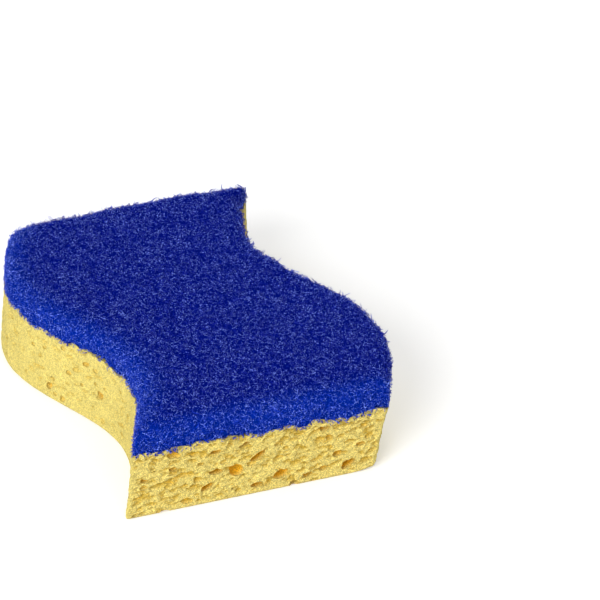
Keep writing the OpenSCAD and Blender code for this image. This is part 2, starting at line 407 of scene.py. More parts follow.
def upward(mesh):
    """How much each point's normal looks up, from -1 to 1."""
    normals = np.empty(len(mesh.vertices) * 3)
    mesh.vertex_normals.foreach_get("vector", normals)
    return normals[2::3]


def store_values(mesh, name, values, kind="FLOAT"):
    """Keeps a value for each point under a name that a material or a tree reads."""
    layer = mesh.attributes.new(name, kind, "POINT")
    field = "vector" if kind == "FLOAT_VECTOR" else "value"
    layer.data.foreach_set(field, np.ascontiguousarray(values, dtype=np.float32).ravel())


def new_object(name, data):
    """An object at the origin that is linked to the scene."""
    thing = bpy.data.objects.new(name, data)
    bpy.context.scene.collection.objects.link(thing)
    return thing


def smooth_by_angle(mesh, degrees):
    """Smooth shading, but for the edges that turn by more than an angle."""
    mesh.shade_smooth()
    mesh.set_sharp_from_angle(angle=math.radians(degrees))


class Tree:
    """A small helper that adds and links nodes in one tree."""

    def __init__(self, tree):
        self.tree = tree

    def node(self, kind, **settings):
        """A new node with its settings."""
        made = self.tree.nodes.new(kind)
        for key, value in settings.items():
            setattr(made, key, value)
        return made

    def link(self, source, target):
        self.tree.links.new(source, target)

    def feed(self, socket, value):
        """Links a socket to another one, or sets it where the value is a plain one."""
        if isinstance(value, bpy.types.NodeSocket):
            self.link(value, socket)
        else:
            socket.default_value = value

    def input(self, name, kind, default=None):
        """A named input of the whole tree or group."""
        made = self.tree.interface.new_socket(name, in_out="INPUT", socket_type=kind)
        if default is not None:
            made.default_value = default

    def output(self, name, kind):
        """A named output of the whole tree or group."""
        self.tree.interface.new_socket(name, in_out="OUTPUT", socket_type=kind)

    def math(self, operation, a, b):
        """A calculation with two values, each a socket or a number."""
        made = self.node("ShaderNodeMath", operation=operation)
        for socket, value in zip(made.inputs, (a, b)):
            self.feed(socket, value)
        return made.outputs[0]

    def mix_colour(self, factor, a, b, blend="MIX"):
        """Mixes two colours, each a socket or three numbers."""
        made = self.node("ShaderNodeMix", data_type="RGBA", blend_type=blend)
        self.feed(made.inputs[0], factor)
        for socket, value in ((made.inputs[6], a), (made.inputs[7], b)):
            self.feed(socket, (*value, 1) if isinstance(value, tuple) else value)
        return made.outputs[2]

    def attribute(self, name):
        """The values that the piece's mesh carries under a name."""
        return self.node("ShaderNodeAttribute", attribute_name=name).outputs["Fac"]

    def shaded(self, colour, shade):
        """A colour times a shade, which is a socket or three numbers."""
        return self.mix_colour(1.0, colour, shade, blend="MULTIPLY")

    def ramp(self, value, low, high, to_low=0.0, to_high=1.0):
        """Maps a value's range to another one, and keeps it inside that."""
        made = self.node("ShaderNodeMapRange", clamp=True)
        for socket, number in zip(made.inputs, (value, low, high, to_low, to_high)):
            self.feed(socket, number)
        return made.outputs[0]


def set_input(modifier, name, value):
    """Sets a named input of a Geometry Nodes modifier through its identifier."""
    for item in modifier.node_group.interface.items_tree:
        if item.item_type == "SOCKET" and item.in_out == "INPUT" and item.name == name:
            modifier[item.identifier] = value
            return
    raise RuntimeError(f"the tree {modifier.node_group.name} has no input named {name}")


def run_tree(carrier, tree, name, **inputs):
    """Runs a Geometry Nodes tree on an object and returns the result as a plain mesh."""
    modifier = carrier.modifiers.new("tree", "NODES")
    modifier.node_group = tree
    for key, value in inputs.items():
        set_input(modifier, key.replace("_", " ").capitalize(), value)
    depsgraph = bpy.context.evaluated_depsgraph_get()
    mesh = bpy.data.meshes.new_from_object(
        carrier.evaluated_get(depsgraph), preserve_all_data_layers=True, depsgraph=depsgraph)
    mesh.name = name
    carrier.modifiers.remove(modifier)
    if len(mesh.polygons) == 0:
        raise RuntimeError(f"the tree {tree.name} made nothing for {name}")
    return mesh


def shader_group(name, sizes, outputs):
    """A new shader group with an input for the place on the piece, named sizes and outputs."""
    group = Tree(bpy.data.node_groups.new(name, "ShaderNodeTree"))
    group.input("Place", "NodeSocketVector")
    for label, default in sizes.items():
        group.input(label, "NodeSocketFloat", default)
    for label in outputs:
        group.output(label, "NodeSocketFloat")
    return group, group.node("NodeGroupInput").outputs, group.node("NodeGroupOutput").inputs


def texture(group, kind, place, scale, **settings):
    """A texture that is read at the place on the piece."""
    made = group.node(kind, **settings)
    group.link(place, made.inputs["Vector"])
    group.link(scale, made.inputs["Scale"])
    return made


def mottle_group(name):
    """Slow, cloudy change of shade, used by every material of the sponge."""
    group, given, made = shader_group(name, {"Patch size": 8 * MM, "Amount": 0.2}, ["Shade"])
    scale = group.math("DIVIDE", 1.0, given["Patch size"])
    clouds = texture(group, "ShaderNodeTexNoise", given["Place"], scale, noise_dimensions="3D")
    clouds.inputs["Detail"].default_value = 4
    doubled = group.math("MULTIPLY", group.math("SUBTRACT", clouds.outputs[0], 0.5), 2.0)
    swing = group.math("MULTIPLY", doubled, given["Amount"])
    group.link(group.math("ADD", swing, 1.0), made["Shade"])
    return group.tree


def speckle_group(name):
    """A value by chance for each tiny cell: the glints and gaps of fibres and cell walls."""
    group, given, made = shader_group(name, {"Cell size": 0.2 * MM}, ["Value"])
    scale = group.math("DIVIDE", 1.0, given["Cell size"])
    cells = texture(group, "ShaderNodeTexVoronoi", given["Place"], scale, feature="F1")
    parts = group.node("ShaderNodeSeparateColor")
    group.link(cells.outputs["Color"], parts.inputs[0])
    group.link(parts.outputs[0], made["Value"])
    return group.tree


def open_cell_group(name):
    """Fine foam cells: a mask that is 1 in the gaps between cell walls, and a height."""
    group, given, made = shader_group(name, {"Cell size": 0.6 * MM}, ["Gap", "Height"])
    scale = group.math("DIVIDE", 1.0, given["Cell size"])
    cells = texture(group, "ShaderNodeTexVoronoi", given["Place"], scale, feature="F1")
    finer = group.math("MULTIPLY", scale, 1.7)
    grain = texture(group, "ShaderNodeTexNoise", given["Place"], finer, noise_dimensions="3D")
    grain.inputs["Detail"].default_value = 3
    gap = group.ramp(cells.outputs["Distance"], 0.45, 0.15)
    rough = group.ramp(grain.outputs[0], 0.56, 0.36)
    both = group.math("MAXIMUM", group.math("MULTIPLY", gap, 0.8), rough)
    group.link(both, made["Gap"])
    group.link(group.math("SUBTRACT", 1.0, both), made["Height"])
    return group.tree


GROUPS = {"mottle": mottle_group, "speckle": speckle_group, "open_cells": open_cell_group}


def shared_group(name):
    """A shader group by its name, built once and then used by every material."""
    return bpy.data.node_groups.get(name) or GROUPS[name](name)


def new_material(name):
    """A material with its tree, its shader and the place on the piece."""
    material = bpy.data.materials.new(name)
    material.use_nodes = True
    tree = Tree(material.node_tree)
    shader = next(n for n in tree.tree.nodes if n.type == "BSDF_PRINCIPLED")
    place = tree.node("ShaderNodeTexCoord").outputs["Object"]
    return material, tree, shader, place


def use_group(tree, name, place, **values):
    """Places a shared group in a material's tree, with its own values."""
    made = tree.node("ShaderNodeGroup", node_tree=shared_group(name))
    tree.link(place, made.inputs["Place"])
    for key, value in values.items():
        made.inputs[key.replace("_", " ").capitalize()].default_value = value
    return made


def bump(tree, shader, height, strength, distance):
    """Feeds a height to the shader's normal."""
    made = tree.node("ShaderNodeBump")
    made.inputs["Strength"].default_value = strength
    made.inputs["Distance"].default_value = distance
    tree.link(height, made.inputs["Height"])
    tree.link(made.outputs[0], shader.inputs["Normal"])


# Depths below the cut face between which each change of colour comes in: the painted shade of the
# hollows, the orange painted shade deep in the pores, and the painted light that brightens the pores
HOLLOW_SHADE_DEPTHS = (0.1 * MM, 0.45 * MM)
PORE_SHADE_DEPTHS = (0.6 * MM, 1.6 * MM)
GLOW_DEPTHS = (0.4 * MM, 1.3 * MM)


def cellulose_material(settings):
    """Pale yellow cut cellulose with painted shade in the fine cell gaps and the hollows, orange
    painted shade deep in the pores with painted light that brightens it, and khaki on the pressed
    underside.
    """
    material, tree, shader, place = new_material("yellow_cellulose")
    depth, pressed = tree.attribute("depth"), tree.attribute("pressed")
    end_cut, facing_shade = tree.attribute("end_cut"), tree.attribute("facing_shade")

    def share(in_sides, in_ends):
        return tree.ramp(end_cut, 0, 1, in_sides, in_ends)

    foam = use_group(tree, "open_cells", place, Cell_size=0.36 * MM)
    clouds = use_group(tree, "mottle", place, Patch_size=4 * MM, Amount=0.12)
    speckle = use_group(tree, "speckle", place, Cell_size=0.24 * MM)
    cut = tree.mix_colour(end_cut, tuple(settings.pale), tuple(settings.yellow))
    # Painted shade in the gaps between the finest cell walls, less on the smoother sides
    gap = tree.math("MULTIPLY", foam.outputs["Gap"], share(0.3, 0.45))
    gap_shaded = tree.mix_colour(gap, cut, tuple(settings.gap_shade))
    face = tree.mix_colour(tree.math("MULTIPLY", pressed, 0.85), gap_shaded, tuple(settings.khaki))
    # Painted shade in the hollows, strongest on their upper side, which is in shade
    sunk = tree.math("MULTIPLY", tree.ramp(depth, *HOLLOW_SHADE_DEPTHS), share(0.5, 1))
    sunk = tree.math("MULTIPLY", sunk, tree.ramp(facing_shade, 0, 1, 0.4, 1))
    hollow_shade = tree.mix_colour(sunk, face, tuple(settings.hollow_shade))
    # Painted shade deep in the pores, orange from light bouncing between the yellow walls
    pore = tree.math("MULTIPLY", tree.ramp(depth, *PORE_SHADE_DEPTHS), share(0.9, 1))
    deep = tree.mix_colour(pore, hollow_shade, tuple(settings.deep_pore_shade))
    # Painted light: deep in the pores the colour is brightened, as thin cell walls let light through,
    # so the pores aren't as dark as a solid's would be
    glow = tree.shaded(deep, tree.ramp(depth, *GLOW_DEPTHS, 1, 1.35))
    grain = tree.ramp(speckle.outputs["Value"], 0, 1, share(0.74, 0.66), share(1.26, 1.34))
    shade = tree.shaded(tree.shaded(glow, grain), clouds.outputs[0])
    tree.link(shade, shader.inputs["Base Color"])
    tree.link(tree.ramp(foam.outputs["Gap"], 0, 1, 0.8, 0.95), shader.inputs["Roughness"])
    shader.inputs["Specular IOR Level"].default_value = 0.2
    bump(tree, shader, foam.outputs["Height"], 0.7, 0.15 * MM)
    return material


def fibre_material(settings, name, shade_multiplier, gloss):
    """Blue synthetic fibre with a soft gloss: each fibre's own tint sets its roughness and how much
    painted highlight its speckles get, and the left and front cut edges get painted light.
    """
    material, tree, shader, place = new_material(name)
    tint, rim = tree.attribute("tint"), tree.attribute("rim")
    clouds = use_group(tree, "mottle", place, Patch_size=3 * MM, Amount=0.08)
    value = use_group(tree, "speckle", place, Cell_size=0.23 * MM).outputs["Value"]
    # Painted highlight: only the brightest speckles of the palest fibres are mixed towards the pale
    # colour, as glints
    glint = tree.math("MULTIPLY", tree.math("POWER", value, 6.0), 5.0)
    glint = tree.math("MINIMUM", tree.math("MULTIPLY", glint, tree.math("POWER", tint, 2.0)), 1.0)
    # Painted light: the left and front cut edges, which face the key lamp, are mixed towards the
    # paler edge blue
    edge = tree.math("MULTIPLY", rim, 0.35)
    base = tree.mix_colour(edge, tuple(settings.blue), tuple(settings.edge))
    fibre = tree.mix_colour(glint, base, tuple(settings.pale))
    uneven = tree.math("MULTIPLY", tree.ramp(value, 0, 1, 0.75, 1.25), clouds.outputs[0])
    # The shade multiplier paints the shade under the fibres onto the felted body; 1 leaves the fibres
    # as they are
    shade = tree.shaded(tree.shaded(fibre, uneven), (shade_multiplier,) * 3)
    tree.link(shade, shader.inputs["Base Color"])
    tree.link(tree.ramp(tint, 0, 1, 0.5, 0.35), shader.inputs["Roughness"])
    shader.inputs["Specular IOR Level"].default_value = gloss
    return material


def round_corners(x, y, shape):
    """Rounds the corners seen from above: the back left one is worn, the others are softened."""
    half_w, half_l = shape.width / 2, shape.length / 2
    r = np.where((x < 0) & (y > 0), shape.worn_corner, shape.soft_corner)
    dx = np.clip(np.abs(x) - (half_w - r), 0, None)
    dy = np.clip(np.abs(y) - (half_l - r), 0, None)
    draw = np.maximum(dx, dy) / np.maximum(np.hypot(dx, dy), 1e-9)
    at_corner = (dx > 0) & (dy > 0)
    x = np.where(at_corner, np.sign(x) * (half_w - r + dx * draw), x)
    y = np.where(at_corner, np.sign(y) * (half_l - r + dy * draw), y)
    return x, y


def ring_shares(us, vs):
    """Stations once round the outline, anticlockwise from the front left corner."""
    one = np.ones
    u = [us[:-1], one(len(vs) - 1), us[:0:-1], -one(len(vs) - 1)]
    v = [-one(len(us) - 1), vs[:-1], one(len(us) - 1), vs[:0:-1]]
    return np.concatenate(u), np.concatenate(v)


def closed_shell(name, us, vs, levels, place, domed=False):
    """A closed solid: rings of faces between two caps, the upper one a grid where it is domed.

    us and vs are shares from -1 to 1 across and along; place(u, v, level) gives the points.
    """
    ring_u, ring_v = ring_shares(us, vs)
    count = len(ring_u)
    parts = [place(ring_u, ring_v, level) for level in levels]
    faces = [tuple(range(count))[::-1]]
    for lower in range(0, count * (len(levels) - 1), count):
        for r in range(count):
            n = (r + 1) % count
            faces.append((lower + r, lower + n, lower + count + n, lower + count + r))
    last = count * (len(levels) - 1)
    if domed:
        nu, nv = len(us), len(vs)
        inner_u, inner_v = (g.ravel() for g in np.meshgrid(us[1:-1], vs[1:-1]))
        parts.append(place(inner_u, inner_v, levels[-1]))
        grid = np.empty((nv, nu), dtype=int)
        grid[1:-1, 1:-1] = last + count + np.arange((nu - 2) * (nv - 2)).reshape(nv - 2, nu - 2)
        sides = np.split(last + np.arange(count), np.cumsum([nu - 1, nv - 1, nu - 1]))
        grid[0, :-1], grid[:-1, -1], grid[-1, :0:-1], grid[:0:-1, 0] = sides
        quads = np.stack([grid[:-1, :-1], grid[:-1, 1:], grid[1:, 1:], grid[1:, :-1]], -1)
        faces += [tuple(quad) for quad in quads.reshape(-1, 4).tolist()]
    else:
        faces.append(tuple(last + r for r in range(count)))
    mesh = bpy.data.meshes.new(name)
    mesh.from_pydata(np.concatenate(parts).tolist(), [], faces)
    mesh.update()
    return mesh


# Lens pores, middling dents and fine cells: how many for each square millimetre, then half
# the length, half the height and the depth in millimetres, for the smallest and the largest
DENT_KINDS = (
    (0.2, (0.7, 0.3, 0.3), (2.0, 0.75, 0.9)),
    (0.4, (0.35, 0.22, 0.2), (0.9, 0.45, 0.5)),
    (1.3, (0.2, 0.15, 0.15), (0.4, 0.3, 0.35)))

# Tilts of the dents, in radians, and the rows above the bottom edge over which they fade in
DENT_TILTS = (-0.25, 0.4)
DENT_FADE_ROWS = 3


class Dents:
    """Soft dents in the unrolled wall: opened foam cells and lens pores seen at a slant."""

    def __init__(self, rng, shape, step):
        self.rng = rng
        self.across = round(shape.width / step)
        self.along = round(shape.length / step)
        self.rises = round(shape.block_height / step)
        self.step = step
        self.depth = np.zeros((self.rises + 1, 2 * (self.across + self.along)))

    def press(self, column, row, half_long, half_high, tilt, deep):
        """One lens-shaped dent, steeper on its upper side, that wraps round the corners."""
        reach = math.ceil(half_long / self.step) + 1
        rise = math.ceil((half_high + half_long * abs(math.sin(tilt))) / self.step) + 1
        rows = np.arange(max(0, round(row) - rise), min(self.rises, round(row) + rise) + 1)
        columns = np.arange(round(column) - reach, round(column) + reach + 1)
        s = (columns - column)[None, :] * self.step
        t = (rows - row)[:, None] * self.step
        u = (s * math.cos(tilt) + t * math.sin(tilt)) / half_long
        v = (t * math.cos(tilt) - s * math.sin(tilt)) / half_high
        form = np.clip(1 - u * u - v * v, 0, 1)
        dent = deep * np.sqrt(form) * form ** 0.3 * (1 + 0.5 * v)
        window = np.ix_(rows, columns % self.depth.shape[1])
        self.depth[window] = np.maximum(self.depth[window], dent)

    def fill(self, first, count_columns, density, low, high):
        """Scatters dents of chance size over some columns; density is per square millimetre."""
        area = count_columns * self.rises * (self.step / MM) ** 2
        for _ in range(round(density * area)):
            size = self.rng.uniform(0, 1) ** 1.5
            span = [a + (b - a) * size * self.rng.uniform(0.7, 1.0) for a, b in zip(low, high)]
            self.press(first + self.rng.uniform(0, count_columns), self.rng.uniform(0, self.rises),
                       span[0] * MM, span[1] * MM, self.rng.uniform(*DENT_TILTS), span[2] * MM)

    def cover(self, ends, sides):
        """Dents of every kind all round; ends and sides say how many, as a share."""
        half = self.across + self.along
        for density, low, high in DENT_KINDS:
            for first in (0, half):
                self.fill(first, self.across, ends * density, low, high)
                self.fill(first + self.across, self.along, sides * density, low, high)
        return self.depth


def plain_block(shape, pores, outline):
    """The block with its fine foam relief, rounded below, more so at the worn front corner."""
    step = pores.grain_step
    us = np.linspace(-1, 1, round(shape.width / step) + 1)
    vs = np.linspace(-1, 1, round(shape.length / step) + 1)
    rises = round(shape.block_height / step)
    levels = [(t, 0) for t in (0, 0.33, 0.67)] + [(1, i / rises) for i in range(rises + 1)]
    rng = np.random.default_rng(DENT_SEED)
    depth = Dents(rng, shape, step).cover(pores.end_foam, pores.side_foam)
    depth += rng.normal(0, pores.grain, depth.shape)

    def place(u, v, level):
        curve, rise = level
        x, y = u * outline.half_w, v * outline.half_l
        r = bottom_round(x, y, shape)
        x, y = round_corners(x, y, shape)
        z = r * (1 - math.cos(curve * math.pi / 2))
        z = z + (shape.block_height - z) * rise
        inset = r * (1 - math.sin(curve * math.pi / 2))
        # The dents fade in above the bottom edge, which stays whole
        sunk = depth[round(rise * rises)] * (curve == 1)
        sunk = sunk * min(1.0, rise * rises / DENT_FADE_ROWS)
        on_side = np.abs(u) == 1
        on_end = np.abs(v) == 1
        y = y - np.sign(v) * (inset + sunk * on_end)
        x = x - np.sign(u) * (inset * np.abs(u) + sunk * on_side)
        x = x - u * outline.tuck(u, y, z) + outline.middle(y, z)
        return np.stack([x, y, z], -1)

    return closed_shell("plain_block", us, vs, levels, place)


# The larger pores in the front end: shares of its width and height, then width, height and
# tilt in millimetres and degrees, the same as in the solids
FRONT_CAVES = (
    (0.42, 0.44, 3.6, 3.5, 0), (0.33, 0.80, 2.9, 1.7, 5), (0.34, 0.48, 3.6, 1.5, 0),
    (0.31, 0.26, 3.6, 1.7, 20), (0.17, 0.66, 2.4, 1.4, 0), (0.06, 0.56, 2.4, 1.3, 0),
    (0.44, 0.83, 3.0, 1.3, 10), (0.50, 0.59, 4.6, 2.0, 35), (0.51, 0.14, 3.4, 1.6, 0),
    (0.60, 0.24, 4.2, 2.5, 20), (0.78, 0.66, 2.1, 1.5, 0), (0.82, 0.38, 2.8, 2.0, 0),
    (0.91, 0.46, 2.7, 1.3, 0), (0.87, 0.18, 4.3, 2.0, 30), (0.77, 0.19, 2.3, 1.6, 0),
    (0.71, 0.13, 3.0, 1.5, 15), (0.76, 0.84, 3.0, 1.4, 25), (0.66, 0.04, 2.8, 1.6, 0))
# The larger pores in the left side, which only the visual model has: shares of the length and
# height, then the same measures
LEFT_CAVES = (
    (0.389, 0.49, 2.5, 2.4, 0), (0.545, 0.19, 2.4, 1.9, 20), (0.537, 0.33, 1.6, 1.3, 0),
    (0.491, 0.56, 2.3, 1.4, 10), (0.443, 0.82, 3.0, 1.3, 15), (0.609, 0.68, 1.8, 1.2, 0),
    (0.450, 0.48, 1.4, 1.1, 0), (0.407, 0.61, 1.3, 1.0, 0), (0.502, 0.09, 2.0, 1.2, 10))

# Depth of the larger pores, as a share of the width in the front end and of the height in the
# left side, and how far the scattered pores keep clear of the larger ones
FRONT_CAVE_DEPTH = 0.6
LEFT_CAVE_DEPTH = 0.8
CAVE_CLEARANCE = 0.3 * MM

# The rule of the scattered pores, the same as in the solids: spacing of their rows, what stays
# clear above and below and at the corners, and the share of the fine pores that is left out
ROW_PITCH = 4 * MM
PORE_MARGIN = 1 * MM
CORNER_MARGIN = 2 * MM
FINE_GAPS = 0.35

# Each scattered pore has a number of its own, from which its shape follows by chance: how many
# numbers each row has, and where those of the fine pores start
ROW_NUMBERS = 40
FINE_NUMBERS = 3000

# A pore is a ball stretched to these shares of its size and depth. Its middle lies below the
# cut face by a share of the depth, so that the pore is widest below its mouth
PORE_SPAN = 0.525
PORE_REACH = 0.75
PORE_SINK = 0.3

# Shallow hollows: the length of the shortest and how much longer the longest is, in
# millimetres, the height as a share of the length, the tilt in degrees, and the depth as a
# share of the height
HOLLOW_SHORTEST, HOLLOW_MORE = 0.8, 2.0
HOLLOW_HEIGHTS = (0.35, 0.55)
HOLLOW_TILTS = (-8, 30)
HOLLOW_SINKS = (0.5, 0.9)

# The way each cut face looks, in degrees, anticlockwise from the front
FRONT, RIGHT, BACK, LEFT = 0, 90, 180, 270


class PorePlaces:
    """Places, turns and sizes of all the pores, most of them worked out by the solids' rule."""

    def __init__(self, outline, pores):
        self.outline = outline
        self.pores = pores
        self.rows = int((outline.top - 2 * PORE_MARGIN) / ROW_PITCH + 1e-6)
        self.found = []

    def add(self, place, facing, tilt, long, high, deep):
        """Keeps one pore, which looks out of a cut face."""
        facing, tilt = math.radians(facing), math.radians(tilt)
        turn = (Matrix.Rotation(facing, 3, "Z") @ Matrix.Rotation(math.pi / 2, 3, "X")
                @ Matrix.Rotation(tilt, 3, "Z"))
        centre = Vector(place) + turn @ Vector((0, 0, -PORE_SINK * deep))
        span = (PORE_SPAN * long, PORE_SPAN * high, PORE_REACH * deep)
        self.found.append((centre, turn.to_euler(), span))

    def hollows(self, rng, put, facing, length, count):
        """Scatters shallow lens-shaped hollows, most of them small, over one cut face."""
        for _ in range(count):
            long = MM * (HOLLOW_SHORTEST + HOLLOW_MORE * rng.uniform(0, 1) ** 1.8)
            high = long * rng.uniform(*HOLLOW_HEIGHTS)
            at = rng.uniform(CORNER_MARGIN - length / 2, length / 2 - CORNER_MARGIN)
            z = rng.uniform(0, self.outline.top - PORE_MARGIN)
            tilt = rng.uniform(*HOLLOW_TILTS)
            put(facing, at, z, tilt, long, high, rng.uniform(*HOLLOW_SINKS) * high)

    def on_end(self, facing, x, z, tilt, long, high, deep):
        """A pore in one of the two straight ends."""
        y = self.outline.half_l * (1 if facing == BACK else -1)
        place = (x + self.outline.middle(y, z), y, z)
        self.add(place, facing, tilt, long, high, deep)

    def on_side(self, facing, y, z, tilt, long, high, deep):
        """A pore in one of the two curved sides, set square to the wave at its place."""
        side = -1 if facing == LEFT else 1
        off = side * (self.outline.half_w - self.outline.tuck(side, y, z))
        x = off + self.outline.middle(y, z)
        square = facing - math.degrees(math.atan(self.outline.slope(y)))
        self.add((x, y, z), square, tilt, long, high, deep)

    def chance_shape(self, place, size):
        """Tilt, length, height and depth of a scattered pore."""
        return (36 * (chance(place, 5) - 0.4),
                size * (1.1 + 0.6 * chance(place, 3)),
                size * (0.65 + 0.25 * chance(place, 4)),
                size * (0.5 + 0.5 * chance(place, 6)) * self.pores.shallow_share)

    def along(self, place, i, count, length):
        """Where a scattered pore lies along its face, from the face's middle."""
        step = i + 0.5 + 0.6 * (chance(place, 0) - 0.5)
        return (length - 2 * CORNER_MARGIN) * (step / count - 0.5)

    def rise(self, place, row):
        """How high a scattered pore lies."""
        pitch = (self.outline.top - 2 * PORE_MARGIN) / self.rows
        return PORE_MARGIN + pitch * (row + 0.5 + 0.5 * (chance(place, 1) - 0.5))

    def scatter(self, put, facing, first, length, pitch, largest):
        """Rows of pores over one cut face, then rows of fine pores between them."""
        count = int((length - 2 * CORNER_MARGIN) / pitch + 1e-6)
        smallest = self.pores.pore_min
        for row in range(self.rows):
            for i in range(count):
                place = first + row * ROW_NUMBERS + i
                size = smallest + (largest - smallest) * chance(place, 2) ** 2
                at, z = self.along(place, i, count, length), self.rise(place, row)
                if facing != FRONT or self.free_of_caves(at, z, self.pores.pore_max):
                    put(facing, at, z, *self.chance_shape(place, size))
        for row in range(self.rows - 1):
            for i in range(count):
                place = first + FINE_NUMBERS + round((row + 0.5) * ROW_NUMBERS) + i
                size = self.pores.fine_pore
                at, z = self.along(place, i, count, length), self.rise(place, row + 0.5)
                clear = facing != FRONT or self.free_of_caves(at, z, size)
                if chance(place, 8) > FINE_GAPS and clear:
                    put(facing, at, z, *self.chance_shape(place, size))

    def cave_place(self, cave):
        """Where one of the larger front pores lies, across and up."""
        return (cave[0] - 0.5) * 2 * self.outline.half_w, cave[1] * self.outline.top

    def free_of_caves(self, x, z, size):
        """Whether a pore of this size keeps clear of the larger front pores."""
        for cave in FRONT_CAVES:
            cave_x, cave_z = self.cave_place(cave)
            room = (cave[2] * MM + size) / 2 + CAVE_CLEARANCE
            if math.hypot(x - cave_x, z - cave_z) < room:
                return False
        return True

    def collect(self):
        """All the pores: the scattered ones, the larger ones and the shallow hollows."""
        width, length = 2 * self.outline.half_w, 2 * self.outline.half_l
        p = self.pores
        self.scatter(self.on_end, FRONT, 1, width, p.end_pitch, p.pore_max)
        self.scatter(self.on_end, BACK, 501, width, p.end_pitch, p.pore_max)
        self.scatter(self.on_side, RIGHT, 1001, length, p.side_pitch, p.side_pore_max)
        self.scatter(self.on_side, LEFT, 1501, length, p.side_pitch, p.side_pore_max)
        for cave in FRONT_CAVES:
            x, z = self.cave_place(cave)
            long, high, tilt = cave[2:]
            deep = FRONT_CAVE_DEPTH * long * MM
            self.on_end(FRONT, x, z, tilt, long * MM, high * MM, deep)
        for share, rise, long, high, tilt in LEFT_CAVES:
            y, z = (share - 0.5) * length, rise * self.outline.top
            deep = LEFT_CAVE_DEPTH * high * MM
            self.on_side(LEFT, y, z, tilt, long * MM, high * MM, deep)
        rng = np.random.default_rng(HOLLOW_SEED)
        for facing in (FRONT, BACK):
            self.hollows(rng, self.on_end, facing, width, p.end_shallow)
        for facing in (RIGHT, LEFT):
            self.hollows(rng, self.on_side, facing, length, p.side_shallow)
        return self.found


def places_object(found):
    """A cloud of points that carries each pore's turn and size for the tree."""
    mesh = bpy.data.meshes.new("pore_places")
    mesh.from_pydata([tuple(f[0]) for f in found], [], [])
    store_values(mesh, "turn", [tuple(f[1]) for f in found], "FLOAT_VECTOR")
    store_values(mesh, "span", [f[2] for f in found], "FLOAT_VECTOR")
    return new_object("pore_places", mesh)


class NodeTree(Tree):
    """The helper for Geometry Nodes."""

    def __init__(self, name):
        super().__init__(bpy.data.node_groups.new(name, "GeometryNodeTree"))
        self.input("Geometry", "NodeSocketGeometry")
        self.output("Geometry", "NodeSocketGeometry")
        self.start = self.node("NodeGroupInput")
        self.end = self.node("NodeGroupOutput")

    def random(self, kind, low, high, seed):
        """A value by chance for each point, between two values."""
        made = self.node("FunctionNodeRandomValue", data_type=kind)
        first = {"FLOAT": 2, "FLOAT_VECTOR": 0}[kind]
        for key, value in ((first, low), (first + 1, high), ("Seed", seed)):
            self.feed(made.inputs[key], value)
        return next(o for o in made.outputs if o.enabled)

    def either_way(self, most, seed):
        """A value by chance for each point, from minus the most to the most."""
        return self.random("FLOAT", self.math("MULTIPLY", most, -1.0), most, seed)

    def named(self, kind, name):
        """The values that a mesh carries under a name."""
        made = self.node("GeometryNodeInputNamedAttribute", data_type=kind)
        made.inputs["Name"].default_value = name
        return made.outputs[0]

    def normal_up(self):
        """How much each face looks up, from -1 to 1."""
        parts = self.node("ShaderNodeSeparateXYZ")
        self.link(self.node("GeometryNodeInputNormal").outputs[0], parts.inputs[0])
        return parts.outputs[2]

    def faces(self, geometry, wanted):
        """The faces of a geometry for which a test holds."""
        made = self.node("GeometryNodeSeparateGeometry", domain="FACE")
        self.link(geometry, made.inputs[0])
        self.link(wanted, made.inputs[1])
        return made.outputs[0]

    def connect(self, kind, **sources):
        """A new node whose inputs are fed by name."""
        made = self.node(kind)
        for key, value in sources.items():
            name = key.replace("_", " ").lower()
            self.feed(next(i for i in made.inputs if i.name.lower() == name and i.enabled), value)
        return made

    def finish(self, geometry, material):
        """Ends the tree as the export needs: real geometry with its material set."""
        real = self.node("GeometryNodeRealizeInstances")
        self.link(geometry, real.inputs[0])
        painted = self.node("GeometryNodeSetMaterial")
        self.link(real.outputs[0], painted.inputs["Geometry"])
        self.link(material, painted.inputs["Material"])
        self.link(painted.outputs[0], self.end.inputs[0])
        return self.tree


# Pores wider than this are cut with a finer ball
FINE_BALL_SPAN = 1.5 * MM

# A face whose normal looks up by less than this belongs to the block's or the pad's underside
UNDERSIDE, PAD_UNDERSIDE = -0.95, -0.8


